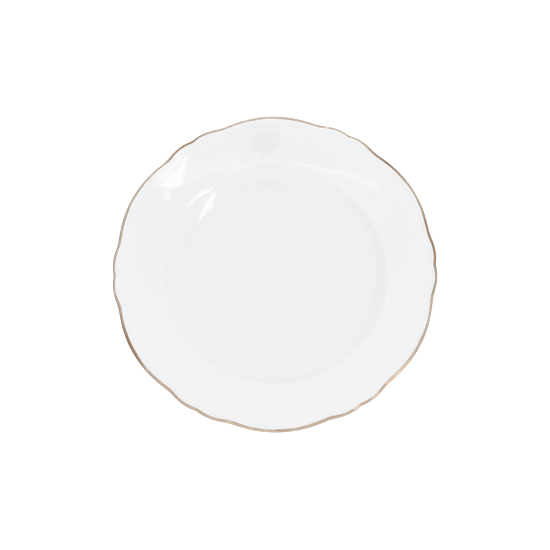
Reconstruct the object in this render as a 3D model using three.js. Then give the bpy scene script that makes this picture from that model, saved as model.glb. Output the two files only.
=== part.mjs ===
// China dinner plate with a scalloped rim, moulded reeds and a gilt lip.
// Millimetres, +Z up. The origin is the centre of the foot ring, on the surface the plate stands on.
// The plate has six-fold symmetry: a cusp of the rim lies on +X and the middle of a lobe on +Y.

import * as THREE from 'three';

const { degToRad, lerp, clamp, smoothstep } = THREE.MathUtils;

// Plan
const LOBES = 6;
const SEGMENTS = 84; // round the plate: 14 to each lobe, one of them on each cusp
const RIM_RADIUS = 133.4; // middle of a lobe, over the gilding

// Fired layers
const GLAZE_THICKNESS = 0.25;
const GILT_THICKNESS = 0.15;
const LAYER_GAP = 0.1; // between one layer and the next

// Section: a flat floor, then three arcs: the wall curves up, the shoulder turns over, and the
// flange goes on from the shoulder and steepens a little towards the rim
const FLOOR_RADIUS = 66.2;
const FLOOR_HEIGHT = 6.2;
const WALL_CURVE = 45;
const WALL_SLOPE = degToRad(32); // at its top
const SHOULDER_CURVE = 20;
const FLANGE_SLOPE = degToRad(16.9); // at the shoulder
const FLANGE_CURVE = 570;
const WALL_STEPS = 4;
const SHOULDER_STEPS = 3;

// Half-round lip, raised a little above the flange
const LIP_RADIUS = 1.5;
const LIP_RISE = 0.3;
const LIP_STEPS = 4;

// Foot ring
const FOOT_INNER_RADIUS = 77.7; // of its flat tip
const FOOT_OUTER_RADIUS = 81.1;
const FOOT_FLARE = 0.7; // the tip's flat is narrower than the ring by this on each side
const BARE_HEIGHT = 0.9; // the tip is wiped clean of glaze up to here

// Underside inside the foot ring
const RECESS_HEIGHT = 2.2;
const RECESS_COVE = { radius: 76.1, height: 1.7, width: 1.7 };

// Back of the plate, outside the foot ring
const BACK_COVE = [
  { radius: 82.5, height: 2.4 },
  { radius: 84.2, height: 3.7 },
  { radius: 89, height: 7 },
];
const FLANGE_BACKING = [
  { radius: 95, thickness: 5.1 },
  { radius: 127, thickness: 3.2 },
];

// Moulded relief inside the lip: distance in from the rim, and height above the flange
const GILT_EDGE = { inset: 2.6, height: 0.3 };
const REEDS = [
  { inset: 4.7, height: 0.02 },
  { inset: 6, height: 0.36 },
  { inset: 7.3, height: 0.05 },
  { inset: 8.5, height: 0.28 },
  { inset: 9.5, height: 0.06 },
  { inset: 10.7, height: 0.44 },
  { inset: 12, height: 0 },
];
const LAST_REED_INSET = 10.7;
const PLAIN_RADIUS = 96; // inside it, the plate is plainly round

// Scallop: each lobe is a wide arc between two small shoulder arcs, and lobes meet in cusps
const RIM_SCALLOP = { lobeArc: 89.5, shoulderArc: 36.5, shoulderRise: -0.9 };
const REED_SCALLOP = { lobeArc: 84, shoulderArc: 13, shoulderRise: 0.2 };
const SHOULDER_ANGLE = degToRad(4.3); // from the cusp
const HOLLOW_ROUNDING = 2.6;
const CUSP_ROUNDING = 0.35;

// Section points are (radius, height).

// Points after `start` on an arc that leaves it at one slope, going outwards, and ends at another.
function arcPoints(start, fromSlope, toSlope, radius, steps) {
  const bend = radius * Math.sign(toSlope - fromSlope);
  return Array.from({ length: steps }, (_, i) => {
    const slope = lerp(fromSlope, toSlope, (i + 1) / steps);
    const across = bend * (Math.sin(slope) - Math.sin(fromSlope));
    const up = bend * (Math.cos(fromSlope) - Math.cos(slope));
    return new THREE.Vector2(start.x + across, start.y + up);
  });
}

const floorEdge = new THREE.Vector2(FLOOR_RADIUS, FLOOR_HEIGHT);
const wall = arcPoints(floorEdge, 0, WALL_SLOPE, WALL_CURVE, WALL_STEPS);
const shoulder = arcPoints(wall.at(-1), WALL_SLOPE, FLANGE_SLOPE, SHOULDER_CURVE, SHOULDER_STEPS);
const flangeStart = shoulder.at(-1);

// How far a radius lies outside the lowest point of the flange's arc.
function acrossFlangeArc(radius) {
  return radius - flangeStart.x + FLANGE_CURVE * Math.sin(FLANGE_SLOPE);
}

function flangeHeight(radius) {
  const drop = Math.sqrt(FLANGE_CURVE ** 2 - acrossFlangeArc(radius) ** 2);
  return flangeStart.y + FLANGE_CURVE * Math.cos(FLANGE_SLOPE) - drop;
}

function flangeSlope(radius) {
  return Math.asin(acrossFlangeArc(radius) / FLANGE_CURVE);
}

// Distance from the axis to an arc that reaches out to `reach`, seen `angle` away from its crown.
function arcDistance(angle, reach, arcRadius) {
  const centre = reach - arcRadius;
  const across = centre * Math.sin(angle);
  return centre * Math.cos(angle) + Math.sqrt(Math.max(arcRadius ** 2 - across ** 2, 0));
}

// The larger of two values, with the change from one to the other rounded off.
function roundedMax(a, b, rounding) {
  return (a + b + Math.hypot(a - b, rounding)) / 2;
}

// Radius, at an angle from +X, of the scalloped line that reaches `reach` in the middle of a lobe.
function scallopRadius(reach, angle) {
  const pitch = (2 * Math.PI) / LOBES;
  const fromCusp = Math.abs(angle - pitch * Math.round(angle / pitch));
  const inward = clamp((RIM_RADIUS - reach) / LAST_REED_INSET, 0, 1);
  const lobeArc = lerp(RIM_SCALLOP.lobeArc, REED_SCALLOP.lobeArc, inward);
  const shoulderArc = lerp(RIM_SCALLOP.shoulderArc, REED_SCALLOP.shoulderArc, inward);
  const shoulderReach = reach + lerp(RIM_SCALLOP.shoulderRise, REED_SCALLOP.shoulderRise, inward);
  const lobe = arcDistance(pitch / 2 - fromCusp, reach, lobeArc);
  const nearShoulder = arcDistance(fromCusp - SHOULDER_ANGLE, shoulderReach, shoulderArc);
  const farShoulder = arcDistance(fromCusp + SHOULDER_ANGLE, shoulderReach, shoulderArc);
  const shoulders = roundedMax(nearShoulder, farShoulder, CUSP_ROUNDING);
  return roundedMax(lobe, shoulders, HOLLOW_ROUNDING);
}

// A path is a run of section points that keeps the outside of the plate on its right.

// The path moved into the plate by `depth`, square to itself. A point on the axis stays on it.
function sunk(path, depth) {
  const normals = path.slice(1).map((point, i) => (
    new THREE.Vector2(point.y - path[i].y, path[i].x - point.x).normalize()
  ));
  return path.map((point, i) => {
    const before = normals[Math.max(i - 1, 0)];
    const after = normals[Math.min(i, normals.length - 1)];
    const mitre = before.clone().add(after).divideScalar(1 + before.dot(after));
    const moved = point.clone().addScaledVector(mitre, -depth);
    return point.x === 0 ? moved.setX(0) : moved;
  });
}

// Back of the plate, from the foot ring's outer wall out to the rim.
function backPath() {
  return [
    new THREE.Vector2(FOOT_OUTER_RADIUS + FOOT_FLARE, BARE_HEIGHT),
    ...BACK_COVE.map(({ radius, height }) => new THREE.Vector2(radius, height)),
    ...FLANGE_BACKING.map(({ radius, thickness }) => (
      new THREE.Vector2(radius, flangeHeight(radius) - thickness)
    )),
  ];
}

// Half-round lip, from its underside over the rim to its crown.
function lipPath() {
  const radius = RIM_RADIUS - GILT_THICKNESS - LAYER_GAP - LIP_RADIUS;
  const slope = flangeSlope(radius);
  const height = flangeHeight(radius) + (LIP_RISE - LIP_RADIUS) / Math.cos(slope);
  const centre = new THREE.Vector2(radius, height);
  const crown = Math.PI / 2 + slope;
  return Array.from({ length: LIP_STEPS + 1 }, (_, i) => {
    const angle = lerp(crown - Math.PI, crown, i / LIP_STEPS);
    return new THREE.Vector2(Math.cos(angle), Math.sin(angle)).multiplyScalar(LIP_RADIUS).add(centre);
  });
}

// A point of the moulded relief on the front of the flange.
function reliefPoint({ inset, height }) {
  const radius = RIM_RADIUS - inset;
  return new THREE.Vector2(radius, flangeHeight(radius) + height);
}

// Inside the reeds: flange, shoulder, wall and floor, in to the axis.
function wellPath() {
  const middle = (RIM_RADIUS - REEDS.at(-1).inset + flangeStart.x) / 2;
  return [
    new THREE.Vector2(middle, flangeHeight(middle)),
    ...shoulder.toReversed(),
    ...wall.toReversed(),
    floorEdge,
    new THREE.Vector2(0, FLOOR_HEIGHT),
  ];
}

// Underside inside the foot ring, from the axis out to where the bare tip begins.
function recessPath() {
  return [
    new THREE.Vector2(0, RECESS_HEIGHT),
    new THREE.Vector2(RECESS_COVE.radius - RECESS_COVE.width, RECESS_HEIGHT),
    new THREE.Vector2(RECESS_COVE.radius, RECESS_COVE.height),
    new THREE.Vector2(FOOT_INNER_RADIUS - FOOT_FLARE, BARE_HEIGHT),
  ];
}

// Turns a closed section into a solid about Z and draws its outer part out into the scallop.
function scallopedSolid(section) {
  const geometry = new THREE.LatheGeometry(section, SEGMENTS);
  geometry.rotateX(Math.PI / 2);
  const position = geometry.attributes.position;
  for (let i = 0; i < position.count; i += 1) {
    const x = position.getX(i);
    const y = position.getY(i);
    const radius = Math.hypot(x, y);
    if (radius > PLAIN_RADIUS) {
      const share = smoothstep(radius, PLAIN_RADIUS, RIM_RADIUS - LAST_REED_INSET);
      const shift = share * (scallopRadius(radius, Math.atan2(y, x)) - radius);
      const stretch = 1 + shift / radius;
      const rise = flangeHeight(radius + shift) - flangeHeight(radius);
      position.setXYZ(i, x * stretch, y * stretch, position.getZ(i) + rise);
    }
  }
  geometry.computeVertexNormals();
  return geometry;
}

function piece(name, section, look) {
  const mesh = new THREE.Mesh(scallopedSolid(section), new THREE.MeshStandardMaterial(look));
  mesh.name = name;
  return mesh;
}

// The outside of a layer and its inside make a closed section, read from the inside out.
function layerSection(outside, thickness) {
  return [...sunk(outside, thickness).reverse(), ...outside];
}

const bodyDepth = GLAZE_THICKNESS + LAYER_GAP;
const giltHeight = GILT_THICKNESS + LAYER_GAP;
const lip = lipPath();
const glazedPath = [
  ...backPath(),
  ...lip,
  reliefPoint(GILT_EDGE),
  ...REEDS.map(reliefPoint),
  ...wellPath(),
];
const recess = recessPath();

// One piece of fired clay; only the flat tip of its foot ring is left bare.
const bodySection = [
  ...sunk(recess, bodyDepth),
  new THREE.Vector2(FOOT_INNER_RADIUS, 0),
  new THREE.Vector2(FOOT_OUTER_RADIUS, 0),
  ...sunk(glazedPath, bodyDepth),
];

// Glaze over the front and back, and a separate coat inside the foot ring.
const glazeSection = layerSection(glazedPath, GLAZE_THICKNESS);
const recessSection = [...recess, ...sunk(recess, GLAZE_THICKNESS).reverse()];

// Metal line over the glaze, round the lip; its section closes on itself.
const giltPath = sunk([...lip, reliefPoint(GILT_EDGE)], -giltHeight);
const giltRing = layerSection(giltPath, GILT_THICKNESS);
const giltSection = [...giltRing, giltRing[0].clone()];

const plate = new THREE.Group();
plate.name = 'dinner_plate';
plate.add(
  piece('porcelain_body', bodySection, { color: 0xeceae4, roughness: 0.65, metalness: 0 }),
  piece('glaze_coat', glazeSection, { color: 0xf3f4f5, roughness: 0.08, metalness: 0 }),
  piece('glaze_recess_disc', recessSection, { color: 0xf0f1f2, roughness: 0.12, metalness: 0 }),
  piece('gilt_rim_band', giltSection, { color: 0xc8a98c, roughness: 0.28, metalness: 1 }),
);

export default plate;
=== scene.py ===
"""A scalloped china dinner plate: its clay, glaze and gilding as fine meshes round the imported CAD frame.

Every layer is a section (radius, height) turned about Z and drawn out into the scallop of the rim, as the
CAD part's layers are, with the true roundings, reeds and brushed gilt edge that its facets leave out.
Metres throughout. A path along a section keeps the outside of the plate on its right.
"""
import math

import bpy
import numpy as np
from mathutils import Matrix, Vector

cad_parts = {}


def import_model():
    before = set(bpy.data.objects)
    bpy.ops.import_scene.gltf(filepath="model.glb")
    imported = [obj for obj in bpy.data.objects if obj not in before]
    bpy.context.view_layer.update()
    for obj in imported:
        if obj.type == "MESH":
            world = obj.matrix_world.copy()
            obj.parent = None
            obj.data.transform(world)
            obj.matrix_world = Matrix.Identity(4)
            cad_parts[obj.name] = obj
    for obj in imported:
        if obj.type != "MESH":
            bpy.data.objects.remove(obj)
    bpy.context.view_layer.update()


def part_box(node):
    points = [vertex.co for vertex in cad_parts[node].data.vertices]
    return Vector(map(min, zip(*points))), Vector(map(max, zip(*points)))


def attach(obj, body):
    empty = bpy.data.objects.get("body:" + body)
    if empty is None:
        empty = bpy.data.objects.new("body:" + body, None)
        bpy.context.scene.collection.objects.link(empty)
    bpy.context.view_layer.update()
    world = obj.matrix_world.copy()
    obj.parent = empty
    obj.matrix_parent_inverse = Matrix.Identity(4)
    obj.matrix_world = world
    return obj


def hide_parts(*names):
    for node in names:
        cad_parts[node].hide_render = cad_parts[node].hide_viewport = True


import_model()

MM = 0.001
LOBES = 6

RIM_RADIUS = 133.4 * MM  # the CAD part's facets stay just inside it
GLAZE_THICKNESS = 0.25 * MM
GILT_THICKNESS = 0.06 * MM
LAYER_GAP = 0.03 * MM

# ---- sizes of the front: a flat floor, then three arcs: wall, shoulder and flange ----
FLOOR_RADIUS = 66.2 * MM
FLOOR_HEIGHT = 6.2 * MM
FLOOR_SAG = 0.12 * MM  # the middle of the floor settles a little in firing
WALL_CURVE = 45 * MM
WALL_SLOPE = math.radians(32)  # at its top
SHOULDER_CURVE = 20 * MM
FLANGE_SLOPE = math.radians(16.9)  # at the shoulder
FLANGE_CURVE = 570 * MM
FLANGE_INSET = 13.2 * MM  # the flange is plain from here in, measured from the rim
RELIEF_INSETS = (3.0 * MM, 12.8 * MM)  # and holds the moulded relief between these
RELIEF_RINGS = 50

LIP_HALF = (2.2 * MM, 1.5 * MM)  # the lip is half an ellipse: half its depth across and half its thickness
LIP_RISE = 0.3 * MM
LIP_INSETS = (3.0, 4.6)  # the flange rises to the lip between these distances in from the rim, in millimetres

# ---- sizes of the back ----
BARE_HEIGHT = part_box("glaze_recess_disc")[0][2]  # the foot ring's tip is wiped clean of glaze up to here
FOOT_INNER_RADIUS = 77.7 * MM
FOOT_OUTER_RADIUS = 81.1 * MM
FOOT_FLARE = 0.7 * MM  # the ring is thicker by this on each side at BARE_HEIGHT than at its tip
FOOT_TIP_ROUNDING = 0.45 * MM
FOOT_SLOPE = math.radians(66)

# Outside the foot ring the back has straight runs at these slopes, with a rounded corner between each two
FOOT_WALL_TOP = (82.3 * MM, 2.0 * MM)
COVE_CORNER, COVE_ROUNDING = (82.9 * MM, 2.95 * MM), 2 * MM
COVE_SLOPE = math.radians(33)
WALL_BACK_CORNER, WALL_BACK_ROUNDING = (89 * MM, 7.0 * MM), 30 * MM
WALL_BACK_SLOPE = math.radians(26.5)
HAUNCH_ROUNDING = 40 * MM
FLANGE_BACK_SLOPE = math.radians(19.6)
BACKING_RADIUS = (95 * MM, 127 * MM)  # from the haunch to near the rim
BACKING_THICKNESS = (5.1 * MM, 3.2 * MM)  # the flange's thickness at those two radii

RECESS_HEIGHT = 2.2 * MM
RECESS_CORNER = 75.6 * MM
RECESS_ROUNDING = 2.5 * MM
RECESS_SLOPE = math.radians(42)
RECESS_RINGS = 78
RECESS_RING_STEP = 0.95 * MM
TURNING_MARK_HEIGHT = 0.018 * MM
TURNING_MARK_PITCH = 5.7 * MM

# ---- lines that follow the rim: (distance in from the rim, half width, strength), in millimetres ----
# Moulded reeds, whose strength is their height, and lines painted into the glaze's colour: painted highlights
# along the reeds' ridges and the shoulder, painted shade between the reeds, and a painted highlight beside
# the gilding
REEDS = ((6.0, 0.5, 0.04), (8.5, 0.45, 0.03), (10.7, 0.5, 0.06))
PAINTED_RIDGE_HIGHLIGHTS = ((6.0, 0.6, 0.35), (8.5, 0.5, 0.3), (10.7, 0.65, 0.8), (39.0, 0.8, 0.35))
PAINTED_GROOVE_SHADE = ((4.3, 0.5, 1), (7.3, 0.5, 1), (9.6, 0.5, 1))
PAINTED_GILT_EDGE_HIGHLIGHT = ((2.6, 0.65, 1),)

# ---- plan: one scallop is a lobe's wide arc between two small shoulder arcs ----
LAST_REED_INSET = REEDS[-1][0] * MM
LOBE_ARC = (89.5 * MM, 84 * MM)  # each pair is at the rim and at the last reed
SHOULDER_ARC = (36.5 * MM, 13 * MM)
SHOULDER_RISE = (-0.9 * MM, 0.2 * MM)
SHOULDER_ANGLE = math.radians(4.3)
HOLLOW_ROUNDING = 2.6 * MM
CUSP_ROUNDING = 0.35 * MM
PLAIN_RADIUS = 96 * MM  # the plate is round inside this

# ---- unevenness ----
RIM_WARP = ((2, 0.16 * MM, 0.7), (3, 0.07 * MM, -1.9))  # waves round the rim, height and phase
RIPPLE_HEIGHT = 0.003 * MM
RIPPLES = (  # in the glaze: radians for each millimetre along X and along Y, phase and share of the height
    (0.061, 0.024, 0.4, 1.0), (-0.033, 0.078, 2.1, 0.8), (0.102, -0.067, 5.2, 0.5),
    (0.157, 0.121, 1.3, 0.3), (-0.19, 0.143, 3.9, 0.22), (0.048, -0.231, 0.9, 0.2),
)

# The gilder's brush: how much of the lip the line covers, where it is widest, how its edge wanders (waves
# round the rim, share and phase), and where the colour is laid on thickest (direction and half width)
BRUSH_REACH = 0.78
BRUSH_HEAVY = math.radians(225)
BRUSH_HEAVIER = 0.02
BRUSH_WAVER = ((9, 0.02, 1.1), (23, 0.015, 0), (41, 0.01, 2.3))
BRUSH_LOADS = tuple((math.radians(at), math.radians(width))
                    for at, width in ((9, 14), (43, 8), (123, 8), (206, 10)))

COARSE_SEGMENTS = 288
FINE_SEGMENTS = 432


def lerp(pair, share):
    return pair[0] + (pair[1] - pair[0]) * share


def smoothstep(value, low, high):
    share = np.clip((value - low) / (high - low), 0, 1)
    return share * share * (3 - 2 * share)


def ridges(inset, lines):
    """Sum of the smooth ridges of lines, at distances in from the rim in millimetres."""
    return sum(strength * np.exp(-((inset - at) / width) ** 2) for at, width, strength in lines)


# ---- plan: the scallop ----

def arc_distance(angle, reach, arc_radius):
    """Distance from the axis to an arc that reaches out to reach, seen angle away from its crown."""
    centre = reach - arc_radius
    across = centre * np.sin(angle)
    return centre * np.cos(angle) + np.sqrt(np.maximum(arc_radius ** 2 - across ** 2, 0))


def rounded_max(a, b, rounding):
    return (a + b + np.hypot(a - b, rounding)) / 2


def scallop_radius(reach, angle):
    """Radius of the scalloped line that reaches out to reach in the middle of a lobe."""
    pitch = 2 * math.pi / LOBES
    from_cusp = np.abs(angle - pitch * np.round(angle / pitch))
    inward = np.clip((RIM_RADIUS - reach) / LAST_REED_INSET, 0, 1)
    lobe = arc_distance(pitch / 2 - from_cusp, reach, lerp(LOBE_ARC, inward))
    shoulder_reach = reach + lerp(SHOULDER_RISE, inward)
    near, far = (
        arc_distance(from_cusp + side * SHOULDER_ANGLE, shoulder_reach, lerp(SHOULDER_ARC, inward))
        for side in (-1, 1)
    )
    return rounded_max(lobe, rounded_max(near, far, CUSP_ROUNDING), HOLLOW_ROUNDING)


def hand_made(radius, angle):
    """Height that firing adds: the rim of a real plate is never quite level."""
    reach = smoothstep(radius, FOOT_OUTER_RADIUS, RIM_RADIUS)
    return reach * sum(height * np.cos(waves * angle + phase) for waves, height, phase in RIM_WARP)


# ---- sections ----

def arc_points(start, from_slope, to_slope, radius, steps):
    """Points after start on an arc that leaves it at one slope, going outwards, and ends at another."""
    bend = math.copysign(radius, to_slope - from_slope)
    slopes = np.linspace(from_slope, to_slope, steps + 1)[1:]
    return [np.array((start[0] + bend * (math.sin(slope) - math.sin(from_slope)),
                      start[1] + bend * (math.cos(from_slope) - math.cos(slope)))) for slope in slopes]


FLOOR_EDGE = np.array((FLOOR_RADIUS, FLOOR_HEIGHT))
WALL = arc_points(FLOOR_EDGE, 0, WALL_SLOPE, WALL_CURVE, steps=18)
SHOULDER = arc_points(WALL[-1], WALL_SLOPE, FLANGE_SLOPE, SHOULDER_CURVE, steps=10)


def across_flange_arc(radius):
    """How far a radius lies outside the lowest point of the flange's arc."""
    return radius - SHOULDER[-1][0] + FLANGE_CURVE * math.sin(FLANGE_SLOPE)


def flange_height(radius):
    drop = np.sqrt(FLANGE_CURVE ** 2 - across_flange_arc(radius) ** 2)
    return SHOULDER[-1][1] + FLANGE_CURVE * math.cos(FLANGE_SLOPE) - drop


def flange_slope(radius):
    return math.asin(across_flange_arc(radius) / FLANGE_CURVE)


def relief_height(radius):
    """Height of the reeds and the lip above the flange."""
    inset = (RIM_RADIUS - radius) / MM
    lip_start, lip_end = LIP_INSETS
    lip = LIP_RISE / MM * smoothstep(-inset, -lip_end, -lip_start)
    return (ridges(inset, REEDS) + lip) * MM


def rotated(point, angle):
    c, s = math.cos(angle), math.sin(angle)
    return np.array([c * point[0] - s * point[1], s * point[0] + c * point[1]])


def fillet_points(corner, arriving, leaving, radius, steps):
    """Points round a fillet where a path arrives at corner in one direction and leaves in another."""
    tangent = radius * math.tan(abs(leaving - arriving) / 2)
    to_centre = np.array([0, math.copysign(radius, leaving - arriving)])
    centre = np.array(corner) + rotated((-tangent, to_centre[1]), arriving)
    headings = np.linspace(arriving, leaving, steps + 1)
    return [centre - rotated(to_centre, heading) for heading in headings]


def line_points(start, end, steps):
    """Points from start towards end, without the end itself."""
    start, end = np.array(start), np.array(end)
    return [start + (end - start) * i / steps for i in range(steps)]


def sunk(path, depth):
    """The path moved into the plate by depth, square to itself. A point on the axis stays on it."""
    path = np.array(path)
    along = np.diff(path, axis=0)
    normals = np.stack([along[:, 1], -along[:, 0]], axis=1)
    normals /= np.linalg.norm(normals, axis=1)[:, None]
    before = np.vstack([normals[:1], normals])
    after = np.vstack([normals, normals[-1:]])
    mitre = (before + after) / (1 + np.sum(before * after, axis=1))[:, None]
    moved = path - depth * mitre
    moved[path[:, 0] == 0, 0] = 0
    return list(moved)


def flange_back_point(share):
    """Point on the back of the flange, share of the way from the haunch to near the rim."""
    radius = lerp(BACKING_RADIUS, share)
    return np.array((radius, flange_height(radius) - lerp(BACKING_THICKNESS, share)))


def back_path():
    """Back of the plate, from the foot ring's outer wall out to the rim."""
    points = line_points((FOOT_OUTER_RADIUS + FOOT_FLARE, BARE_HEIGHT), FOOT_WALL_TOP, steps=4)
    points += fillet_points(COVE_CORNER, FOOT_SLOPE, COVE_SLOPE, COVE_ROUNDING, steps=8)
    points += fillet_points(WALL_BACK_CORNER, COVE_SLOPE, WALL_BACK_SLOPE, WALL_BACK_ROUNDING, steps=4)
    haunch = flange_back_point(0)
    points += fillet_points(haunch, WALL_BACK_SLOPE, FLANGE_BACK_SLOPE, HAUNCH_ROUNDING, steps=8)
    points += [flange_back_point(share) for share in np.linspace(0.3, 1, 9)]
    return points


def lip_path(steps=20):
    """Rounded lip, from its underside over the rim to its crown."""
    across, up = LIP_HALF
    edge = RIM_RADIUS - GILT_THICKNESS - LAYER_GAP
    slope = flange_slope(edge - across)
    radius = edge - math.hypot(across * math.cos(slope), up * math.sin(slope))
    centre = np.array((radius, flange_height(radius) + (LIP_RISE - up) / math.cos(slope)))
    return [centre + rotated((across * math.cos(turn), up * math.sin(turn)), slope)
            for turn in np.linspace(-math.pi / 2, math.pi / 2, steps + 1)]


def relief_path():
    """Front of the flange from inside the lip's crown in over the reeds."""
    radii = RIM_RADIUS - np.linspace(*RELIEF_INSETS, RELIEF_RINGS)
    return [np.array((radius, flange_height(radius) + relief_height(radius))) for radius in radii]


def well_path():
    """Flange, shoulder, wall and floor, in to the axis."""
    plain = np.linspace(RIM_RADIUS - FLANGE_INSET, SHOULDER[-1][0], 14)[:-1]
    points = [np.array((radius, flange_height(radius))) for radius in plain]
    points += SHOULDER[::-1] + WALL[::-1]
    for radius in np.linspace(FLOOR_RADIUS, 0, 16):
        sag = FLOOR_SAG * (1 - (radius / FLOOR_RADIUS) ** 2) ** 2
        points.append(np.array((radius, FLOOR_HEIGHT - sag)))
    return points


def glazed_path():
    """All that the glaze coat covers, from the foot ring out over the lip and in to the axis."""
    return back_path() + lip_path() + relief_path() + well_path()


def recess_path():
    """Underside inside the foot ring, from the axis out to the bare tip, with faint turning marks."""
    points = []
    for radius in np.arange(RECESS_RINGS) * RECESS_RING_STEP:
        mark = TURNING_MARK_HEIGHT * math.sin(2 * math.pi * radius / TURNING_MARK_PITCH)
        points.append(np.array((radius, RECESS_HEIGHT + mark * smoothstep(radius, 0, 20 * MM))))
    points += fillet_points((RECESS_CORNER, RECESS_HEIGHT), 0, -RECESS_SLOPE, RECESS_ROUNDING, steps=8)
    points.append(np.array((FOOT_INNER_RADIUS - FOOT_FLARE, BARE_HEIGHT)))
    return points


def layer_section(outside, thickness):
    """A thin layer's closed section: along its inside, then back along its outside."""
    return sunk(outside, thickness)[::-1] + outside


# ---- solids ----

def turn_angles(segments):
    return np.arange(segments) * 2 * math.pi / segments


def turned(name, section, segments, detail=None):
    """A closed solid of one section turned about Z, with the scallop drawn into it.

    The section starts and ends on the axis, or it is a ring that closes on itself. detail moves the grid
    of points (rings, segments, xyz) before the mesh is made.
    """
    section = np.array(section)
    angles = turn_angles(segments)
    radius, height = (np.repeat(section[:, [axis]], segments, axis=1) for axis in (0, 1))
    share = smoothstep(radius, PLAIN_RADIUS, RIM_RADIUS - LAST_REED_INSET)
    drawn = radius + share * (scallop_radius(radius, angles) - radius)
    rise = np.where(share > 0, flange_height(drawn) - flange_height(radius), 0)
    height = height + rise + hand_made(drawn, angles)
    grid = np.stack([drawn * np.cos(angles), drawn * np.sin(angles), height], axis=2)
    if detail:
        detail(grid)

    on_axis = section[0, 0] == 0
    rings = grid[1:-1] if on_axis else grid
    points = rings.reshape(-1, 3)
    faces = []
    column = np.arange(segments)
    following = (column + 1) % segments
    for ring in range(len(rings) - 1 if on_axis else len(rings)):
        here, there = ring * segments, (ring + 1) % len(rings) * segments
        corners = [here + column, here + following, there + following, there + column]
        faces += np.stack(corners, axis=1).tolist()
    if on_axis:
        first_pole, last_pole = len(points), len(points) + 1
        points = np.vstack([points, grid[0, :1], grid[-1, :1]])
        last = (len(rings) - 1) * segments
        faces += np.stack([np.full(segments, first_pole), following, column], axis=1).tolist()
        faces += np.stack([np.full(segments, last_pole), last + column, last + following], axis=1).tolist()
    mesh = bpy.data.meshes.new(name)
    mesh.from_pydata(points.tolist(), [], faces)
    mesh.shade_smooth()
    mesh.update()
    return linked(name, mesh)


def linked(name, data):
    piece = bpy.data.objects.new(name, data)
    bpy.context.scene.collection.objects.link(piece)
    return piece


def ripple(grid):
    """Moves points up or down by a smooth, shallow unevenness, as a fired glaze has."""
    x, y = grid[..., 0] / MM, grid[..., 1] / MM
    total = sum(share * np.sin(a * x + b * y + phase) for a, b, phase, share in RIPPLES)
    grid[..., 2] += RIPPLE_HEIGHT * total


def add_attribute(piece, name, values):
    """Stores one number for each vertex, which the piece's material reads."""
    attribute = piece.data.attributes.new(name, "FLOAT", "POINT")
    attribute.data.foreach_set("value", np.asarray(values, np.float32))


# ---- materials ----

GLAZE_WHITE = (0.8655, 0.870, 0.881)
RECESS_WHITE = (0.860, 0.862, 0.870)
CLOUD_TINT = (0.998, 0.997, 0.994)  # how the white changes in faint clouds,
PAINTED_GROOVE_SHADE_TINT = (0.990, 0.992, 0.995)  # painted shade between the reeds,
PAINTED_RIDGE_HIGHLIGHT_TINT = (1.024, 1.020, 1.013)  # painted highlights on the reeds' ridges and the shoulder
PAINTED_GILT_EDGE_HIGHLIGHT_TINT = (1.062, 1.092, 1.104)  # and a painted highlight beside the gilding
SPECK_BROWN = (0.16, 0.12, 0.09)

CLAY_PALE, CLAY_DARK = (0.80, 0.775, 0.73), (0.70, 0.675, 0.63)
CLAY_WORN = (0.46, 0.45, 0.44)

GILT_DEEP, GILT_LIGHT = (0.38, 0.28, 0.20), (0.56, 0.46, 0.38)
GILT_WORN = (0.78, 0.69, 0.60)
GILT_LOADED = (0.26, 0.15, 0.08)


def rgba(colour, tint=(1, 1, 1)):
    """The colour with each channel multiplied by the tint, as a colour socket takes it."""
    return tuple(channel * factor for channel, factor in zip(colour, tint)) + (1,)


class Nodes:
    """A small helper: makes nodes in one tree and links them by socket name."""

    def __init__(self, owner):
        owner.use_nodes = True
        self.tree = owner.node_tree

    def add(self, kind, inputs=None, **settings):
        node = self.tree.nodes.new(kind)
        for key, value in settings.items():
            setattr(node, key, value)
        for key, value in (inputs or {}).items():
            self.set(node, key, value)
        return node

    def set(self, node, key, value):
        socket = node.inputs[key]
        if isinstance(value, bpy.types.NodeSocket):
            self.tree.links.new(value, socket)
        else:
            socket.default_value = value

    def noise(self, vector, size, detail=2.0, roughness=0.5):
        """Noise from 0 to 1 whose features are about size metres across."""
        node = self.add("ShaderNodeTexNoise", {"Vector": vector, "Scale": 1 / size, "Detail": detail,
                                               "Roughness": roughness})
        return node.outputs["Fac"]

    def remap(self, value, from_low, from_high, to_low, to_high):
        node = self.add("ShaderNodeMapRange", {"Value": value, "From Min": from_low, "From Max": from_high,
                                               "To Min": to_low, "To Max": to_high})
        return node.outputs["Result"]

    def math(self, operation, a, b=0.0):
        return self.add("ShaderNodeMath", {0: a, 1: b}, operation=operation).outputs[0]

    def product(self, first, *others):
        for value in others:
            first = self.math("MULTIPLY", first, value)
        return first

    def total(self, first, *others):
        for value in others:
            first = self.math("ADD", first, value)
        return first

    def mix(self, share, a, b):
        node = self.add("ShaderNodeMix", data_type="RGBA")
        for socket, value in ((0, share), (6, a), (7, b)):
            self.set(node, socket, value)
        return node.outputs[2]

    def ramp(self, value, stops):
        """A smooth grey ramp through stops of (position from 0 to 1, level)."""
        node = self.add("ShaderNodeValToRGB", {"Fac": value})
        node.color_ramp.interpolation = "EASE"
        elements = node.color_ramp.elements
        while len(elements) < len(stops):
            elements.new(0.5)
        for element, (position, level) in zip(elements, stops):
            element.position = position
            element.color = (level, level, level, 1)
        return node.outputs["Color"]

    def bump(self, height, distance, strength=1.0, normal=None):
        inputs = {"Height": height, "Distance": distance, "Strength": strength}
        if normal:
            inputs["Normal"] = normal
        return self.add("ShaderNodeBump", inputs).outputs["Normal"]

    def attribute(self, name):
        return self.add("ShaderNodeAttribute", attribute_name=name).outputs["Fac"]

    def place(self):
        return self.add("ShaderNodeTexCoord").outputs["Object"]


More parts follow.
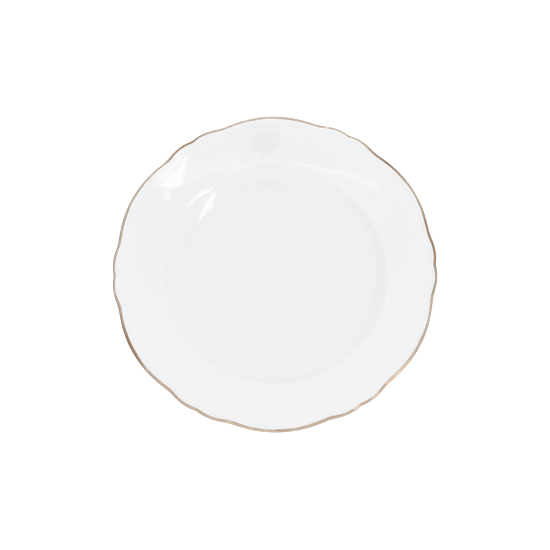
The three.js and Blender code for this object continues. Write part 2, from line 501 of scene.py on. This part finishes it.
class Material(Nodes):
    """Nodes of a new material with one Principled shader."""

    def __init__(self, name):
        self.material = bpy.data.materials.new(name)
        super().__init__(self.material)
        self.shader = self.tree.nodes["Principled BSDF"]

    def finish(self, **inputs):
        """Sets the shader's inputs, with _ for each space in their names, and gives the material."""
        for key, value in inputs.items():
            self.set(self.shader, key.replace("_", " "), value)
        return self.material


def speck_mask(nodes, place, cell, size, share):
    """1 inside sparse round specks of about size metres, one in a cell of the given share of cells."""
    voronoi = nodes.add("ShaderNodeTexVoronoi", {"Vector": place, "Scale": 1 / cell})
    near = nodes.remap(voronoi.outputs["Distance"], size / cell * 0.5, size / cell, 1.0, 0.0)
    chosen = nodes.add("ShaderNodeSeparateColor", {"Color": voronoi.outputs["Color"]}).outputs["Red"]
    return nodes.math("MULTIPLY", near, nodes.math("LESS_THAN", chosen, share))


def glaze_material(name, white, skin_size):
    """White china under clear glaze: glossy, faintly uneven, with painted shade between the reeds and painted
    highlights on their ridges, on the shoulder and beside the gilding.
    """
    nodes = Material(name)
    place = nodes.place()
    cloud = nodes.noise(place, size=55 * MM, detail=3.0)
    colour = nodes.mix(nodes.remap(cloud, 0.35, 0.65, 0.0, 0.6), rgba(white), rgba(white, CLOUD_TINT))
    # painted shade between the reeds and painted highlights on their ridges, the shoulder and beside the
    # gilding, mixed into the white
    for line, tint in (("painted_groove_shade", PAINTED_GROOVE_SHADE_TINT), ("painted_ridge_highlight", PAINTED_RIDGE_HIGHLIGHT_TINT), ("painted_gilt_edge_highlight", PAINTED_GILT_EDGE_HIGHLIGHT_TINT)):
        colour = nodes.mix(nodes.attribute(line), colour, rgba(white, tint))
    specks = speck_mask(nodes, place, cell=15 * MM, size=0.28 * MM, share=0.05)
    colour = nodes.mix(nodes.math("MULTIPLY", specks, 0.75), colour, rgba(SPECK_BROWN))

    moved = nodes.add("ShaderNodeMapping", {"Vector": place, "Location": (0.31, 0.17, 0.05)})
    pits = speck_mask(nodes, moved.outputs["Vector"], cell=9 * MM, size=0.2 * MM, share=0.1)
    skin = nodes.bump(nodes.noise(place, size=skin_size, detail=2.0, roughness=0.45), distance=0.002 * MM)
    normal = nodes.bump(nodes.math("SUBTRACT", 1.0, pits), distance=0.05 * MM, strength=0.6, normal=skin)
    haze = nodes.noise(place, size=18 * MM, detail=4.0, roughness=0.6)
    return nodes.finish(Base_Color=colour, Roughness=nodes.remap(haze, 0.3, 0.7, 0.012, 0.03), IOR=1.52,
                        Normal=normal)


def bisque_material():
    """Bare fired clay on the foot ring: matt, fine-grained, greyed where it has been set down."""
    nodes = Material("bisque")
    place = nodes.place()
    grain = nodes.noise(place, size=0.35 * MM, detail=3.0, roughness=0.6)
    smudge = nodes.noise(place, size=14 * MM, detail=4.0, roughness=0.65)
    clay = nodes.mix(nodes.remap(grain, 0.35, 0.65, 0, 1), rgba(CLAY_PALE), rgba(CLAY_DARK))
    worn = nodes.mix(nodes.remap(smudge, 0.5, 0.72, 0, 0.55), clay, rgba(CLAY_WORN))
    return nodes.finish(Base_Color=worn, Roughness=nodes.remap(smudge, 0.4, 0.7, 0.72, 0.55),
                        Normal=nodes.bump(grain, distance=0.02 * MM))


def gilt_material():
    """A brushed-on lustre line: rose gold, streaked along the rim, thinner and paler in places."""
    nodes = Material("gilding")
    drawn_out = nodes.math("MULTIPLY", nodes.attribute("along"), 0.06)
    stroke = nodes.add("ShaderNodeCombineXYZ", {0: drawn_out, 1: nodes.attribute("across")}).outputs[0]
    streaks = nodes.noise(stroke, size=0.28 * MM, detail=3.0, roughness=0.6)
    patches = nodes.noise(nodes.place(), size=9 * MM, detail=3.0, roughness=0.55)
    metal = nodes.mix(nodes.remap(streaks, 0.35, 0.65, 0, 1), rgba(GILT_DEEP), rgba(GILT_LIGHT))
    worn = nodes.mix(nodes.remap(patches, 0.55, 0.75, 0, 0.5), metal, rgba(GILT_WORN))
    loaded = nodes.math("MULTIPLY", nodes.attribute("loaded"), 0.85)
    return nodes.finish(Base_Color=nodes.mix(loaded, worn, rgba(GILT_LOADED)), Metallic=1.0,
                        Roughness=nodes.remap(streaks, 0.3, 0.7, 0.06, 0.17),
                        Normal=nodes.bump(streaks, distance=0.012 * MM, strength=0.5))


# ---- pieces ----

def finish_piece(piece, node, material):
    piece.data.materials.append(material)
    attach(piece, "root")
    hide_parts(node)


def clay_body():
    depth = GLAZE_THICKNESS + LAYER_GAP
    section = sunk(recess_path(), depth)
    section += fillet_points((FOOT_INNER_RADIUS, 0), -FOOT_SLOPE, 0, FOOT_TIP_ROUNDING, steps=5)
    section += fillet_points((FOOT_OUTER_RADIUS, 0), 0, FOOT_SLOPE, FOOT_TIP_ROUNDING, steps=5)
    section += sunk(glazed_path(), depth)
    piece = turned("clay_body", section, COARSE_SEGMENTS)
    finish_piece(piece, "porcelain_body", bisque_material())


def glaze_coat():
    section = np.array(layer_section(glazed_path(), GLAZE_THICKNESS))
    piece = turned("glaze_coat_fine", section, FINE_SEGMENTS, ripple)
    inset = (RIM_RADIUS - section[1:-1, 0]) / MM
    # values at each vertex for the painted shade between the reeds and the painted highlights on their
    # ridges, the shoulder and beside the gilding
    for name, lines in (("painted_groove_shade", PAINTED_GROOVE_SHADE), ("painted_ridge_highlight", PAINTED_RIDGE_HIGHLIGHTS), ("painted_gilt_edge_highlight", PAINTED_GILT_EDGE_HIGHLIGHT)):
        at_rings = np.repeat(ridges(inset, lines), FINE_SEGMENTS)
        add_attribute(piece, name, np.append(at_rings, [0, 0]))  # and the two points on the axis
    finish_piece(piece, "glaze_coat", glaze_material("glaze", GLAZE_WHITE, 2.6 * MM))


def glaze_recess():
    path = recess_path()
    piece = turned("glaze_recess_fine", path + sunk(path, GLAZE_THICKNESS)[::-1], COARSE_SEGMENTS)
    finish_piece(piece, "glaze_recess_disc",
                 glaze_material("glaze_under_foot", RECESS_WHITE, 1.6 * MM))


def gilt_line():
    """The brushed line: over the lip from its underside, its inner edge wavering round the rim."""
    outside = sunk(lip_path() + relief_path()[:4], -(GILT_THICKNESS + LAYER_GAP))
    section = np.array(layer_section(outside, GILT_THICKNESS))
    steps = len(outside)
    angles = turn_angles(FINE_SEGMENTS)
    waver = sum(share * np.sin(waves * angles + phase) for waves, share, phase in BRUSH_WAVER)
    reach = BRUSH_REACH * (1 + BRUSH_HEAVIER * np.cos(angles - BRUSH_HEAVY) + waver)

    def brushed(grid):
        """Draws the line's two surfaces back towards its outer edge, to where the brush has reached."""
        at = np.arange(steps)
        for surface in (grid[:steps][::-1], grid[steps:]):  # the inside runs the other way
            whole = surface.copy()
            for column, share in enumerate(reach):
                for axis in range(3):
                    surface[:, column, axis] = np.interp(at * share, at, whole[:, column, axis])

    piece = turned("gilt_line", section, FINE_SEGMENTS, brushed)
    lengths = np.linalg.norm(np.diff(section, axis=0), axis=1)
    add_attribute(piece, "across", np.repeat(np.append(0, np.cumsum(lengths)), FINE_SEGMENTS))
    add_attribute(piece, "along", np.tile(angles * RIM_RADIUS, len(section)))
    loaded = sum(np.exp(-((np.mod(angles - at + math.pi, 2 * math.pi) - math.pi) / width) ** 2)
                 for at, width in BRUSH_LOADS)
    add_attribute(piece, "loaded", np.tile(loaded, len(section)))
    finish_piece(piece, "gilt_rim_band", gilt_material())


# ---- set: what the glaze mirrors, in millimetres on a plane overhead ----

CARD_HEIGHT = 1225
LIGHT_CENTRE = np.array((4, 543))  # the soft light overhead ends at a round edge
LIGHT_RADIUS = 764
LIGHT_EDGE_POINTS = 17


def card(name, corners, levels, faces=None, drop=0.0):
    """A flat card that only shows in reflections, drop below CARD_HEIGHT. Each of its corners has its own
    brightness, or all have one."""
    mesh = bpy.data.meshes.new(name)
    points = [(x * MM, y * MM, (CARD_HEIGHT - drop) * MM) for x, y in corners]
    mesh.from_pydata(points, [], faces or [list(range(len(points)))])
    piece = linked(name, mesh)
    add_attribute(piece, "level", np.broadcast_to(levels, len(points)))
    material = bpy.data.materials.new(name)
    nodes = Nodes(material)
    nodes.tree.nodes.remove(nodes.tree.nodes["Principled BSDF"])
    light = nodes.add("ShaderNodeEmission", {"Strength": nodes.attribute("level")}).outputs[0]
    nodes.set(nodes.tree.nodes["Material Output"], "Surface", light)
    mesh.materials.append(material)
    for kind in ("camera", "diffuse", "transmission", "volume_scatter", "shadow"):
        setattr(piece, "visible_" + kind, False)


def light_edge_band(name, turns, offsets, levels):
    """A band along the round edge of the soft light, in lanes: a level at each distance outside the edge."""
    angles = np.radians(np.linspace(*turns, LIGHT_EDGE_POINTS))
    outward = [np.array((math.cos(angle), math.sin(angle))) for angle in angles]
    corners = [tuple(LIGHT_CENTRE + (LIGHT_RADIUS + offset) * way) for offset in offsets for way in outward]
    faces = []
    for lane in range(len(offsets) - 1):
        for i in range(lane * LIGHT_EDGE_POINTS, (lane + 1) * LIGHT_EDGE_POINTS - 1):
            faces.append((i, i + 1, i + 1 + LIGHT_EDGE_POINTS, i + LIGHT_EDGE_POINTS))
    card(name, corners, np.repeat(levels, LIGHT_EDGE_POINTS), faces)


def reflected_room():
    """The camera, a window, the bright edge of the soft light, and the ceiling straight overhead."""
    card("camera_body", ((-50, -440), (80, -440), (80, -250), (45, -248), (35, -240), (5, -240), (-10, -248),
                         (-50, -250)), 0.35)
    card("window", ((335, -220), (375, -150), (405, -105), (460, -75), (510, -65), (545, -130), (620, -250),
                    (740, -640), (640, -650), (570, -480), (480, -310), (415, -210)),
         (3.4, 3.4, 3.4, 3.5, 3.6, 3.7, 4.0, 4.4, 4.4, 4.4, 4.0, 3.5), drop=3)
    card("small_window", ((455, -65), (480, -60), (485, -30), (475, -30)), 3.0, drop=2)
    light_edge_band("light_edge_left", (-131, -81), (-2, 2, 5), (1.2, 3.4, 1.4))
    light_edge_band("light_edge_right", (-81, -54), (-2, 2, 5), (1.2, 2.1, 1.9))
    light_edge_band("light_glow_left", (-131, -115), (5, 10, 32), (2.9, 1.8, 1.15))
    light_edge_band("light_glow_right", (-81, -54), (5, 14, 40), (1.95, 1.55, 1.15))
    card("ceiling", ((-190, 120), (107, 120), (107, 520), (-190, 520)), (1.0, 1.3, 1.3, 1.0), drop=1)
    card("ceiling_patch", ((-75, 520), (-75, 430), (-100, 425), (-125, 350), (-190, 330), (-190, 520)), 1.17,
         drop=2)
    card("side_panel", ((107, 120), (290, 120), (290, 520), (107, 520)), (1.36, 1.12, 1.12, 1.36), drop=1)


# ---- set: light all round ----

SKY = (1.16, 0.93)  # soft light from all round, a little stronger from low down than from overhead
BELOW = 0.72  # and weaker from straight below

# Brightness of the room in reflections, against how far a direction leans: a quarter of the tangent of its
# angle from overhead, so 0.25 at 45 degrees. The second is taken away on the -X side, where it is dark.
ROOM_OVERALL = ((0.0, 1.04), (0.08, 1.13), (0.11, 1.2), (0.145, 1.19), (0.19, 1.57), (0.29, 1.45),
                (0.475, 1.56), (0.56, 1.25), (0.75, 1.0), (1.0, 0.8))
ROOM_DARK = ((0.0, 0.0), (0.135, 0.0), (0.165, 0.2), (0.21, 0.35), (0.25, 0.6), (0.32, 0.8), (0.40, 0.95),
             (0.55, 0.88), (0.75, 0.7), (1.0, 0.6))
ROOM_TILT = (-0.11, -0.06)  # what it gains towards +X and towards +Y
LEAN_SCALE = 0.25
TILTED_LEAN = 0.125  # the tilt is whole from here out


def room_level(nodes, x, y, z):
    """Brightness of the room in one direction."""
    flat = nodes.math("SQRT", nodes.total(nodes.product(x, x), nodes.product(y, y)))
    tangent = nodes.math("DIVIDE", flat, nodes.math("MAXIMUM", z, 0.05))
    lean = nodes.product(tangent, LEAN_SCALE)
    side, front = (nodes.math("DIVIDE", part, nodes.math("MAXIMUM", flat, 0.001)) for part in (x, y))
    dark = nodes.product(nodes.remap(side, -0.5, -0.95, 0.0, 1.0), nodes.ramp(lean, ROOM_DARK))
    tilt = nodes.product(nodes.total(nodes.product(side, ROOM_TILT[0]), nodes.product(front, ROOM_TILT[1])),
                         nodes.remap(lean, 0.0, TILTED_LEAN, 0.0, 1.0))
    return nodes.math("SUBTRACT", nodes.total(nodes.ramp(lean, ROOM_OVERALL), tilt), dark)


def world():
    """Even white light. Reflections see the room instead."""
    studio_world = bpy.data.worlds.new("studio")
    bpy.context.scene.world = studio_world
    nodes = Nodes(studio_world)
    direction = nodes.add("ShaderNodeTexCoord").outputs["Generated"]
    x, y, z = nodes.add("ShaderNodeSeparateXYZ", {0: direction}).outputs
    sky = nodes.total(nodes.remap(z, 0.0, 1.0, *SKY), nodes.remap(z, -1.0, 0.0, BELOW - SKY[0], 0.0))
    glossy = nodes.add("ShaderNodeLightPath").outputs["Is Glossy Ray"]
    change = nodes.math("SUBTRACT", room_level(nodes, x, y, z), sky)
    background = nodes.tree.nodes["Background"]
    background.inputs["Color"].default_value = (1, 1, 1, 1)
    nodes.set(background, "Strength", nodes.total(sky, nodes.product(glossy, change)))


# ---- set: floor and camera ----

FLOOR_EXTENT = 4.0
FLOOR_SIDES = 96


def floor():
    """A pale round floor. It is open under the foot ring, so that the recess has light when seen from below,
    and from below it can be seen through."""
    mesh = bpy.data.meshes.new("floor")
    hole = FOOT_OUTER_RADIUS - 0.5 * MM
    corners = [(radius * math.cos(turn), radius * math.sin(turn), 0)
               for radius in (hole, FLOOR_EXTENT) for turn in turn_angles(FLOOR_SIDES)]
    faces = [(i, FLOOR_SIDES + i, FLOOR_SIDES + (i + 1) % FLOOR_SIDES, (i + 1) % FLOOR_SIDES)
             for i in range(FLOOR_SIDES)]
    mesh.from_pydata(corners, [], faces)
    piece = linked("floor", mesh)

    nodes = Material("floor_white")
    seen_directly = nodes.add("ShaderNodeLightPath").outputs["Is Camera Ray"]
    glow = nodes.math("MULTIPLY", seen_directly, 0.5)
    mesh.materials.append(nodes.finish(Base_Color=rgba((0.86, 0.86, 0.86)), Roughness=0.9,
                                       Specular_IOR_Level=0.0, Emission_Color=rgba((1, 1, 1)),
                                       Emission_Strength=glow))
    behind = nodes.add("ShaderNodeNewGeometry").outputs["Backfacing"]
    clear = nodes.add("ShaderNodeBsdfTransparent").outputs[0]
    surface = nodes.add("ShaderNodeMixShader", {0: behind, 1: nodes.shader.outputs[0], 2: clear})
    nodes.set(nodes.tree.nodes["Material Output"], "Surface", surface.outputs[0])


def camera():
    """The photograph's view: nearly overhead and a little rolled, through a long lens."""
    distance, roll = 1.243, math.radians(-4.47)
    azimuth, elevation = math.radians(2.57), math.radians(75.46)
    target = Vector((0.0002, -0.0039, 0.0265))
    back = Vector((math.sin(azimuth) * math.cos(elevation), -math.cos(azimuth) * math.cos(elevation),
                   math.sin(elevation)))
    right = Vector((math.cos(azimuth), math.sin(azimuth), 0))
    up = back.cross(right)
    rolled_right = math.cos(roll) * right + math.sin(roll) * up
    rolled_up = back.cross(rolled_right)
    data = bpy.data.cameras.new("camera")
    data.sensor_width = 36
    data.lens = 99.6
    piece = linked("camera", data)
    axes = Matrix((rolled_right, rolled_up, back)).transposed()
    piece.matrix_world = Matrix.Translation(target + back * distance) @ axes.to_4x4()
    bpy.context.scene.camera = piece


camera()
clay_body()
glaze_coat()
glaze_recess()
gilt_line()
floor()
world()
reflected_room()
bpy.context.scene.view_settings.view_transform = "Standard"
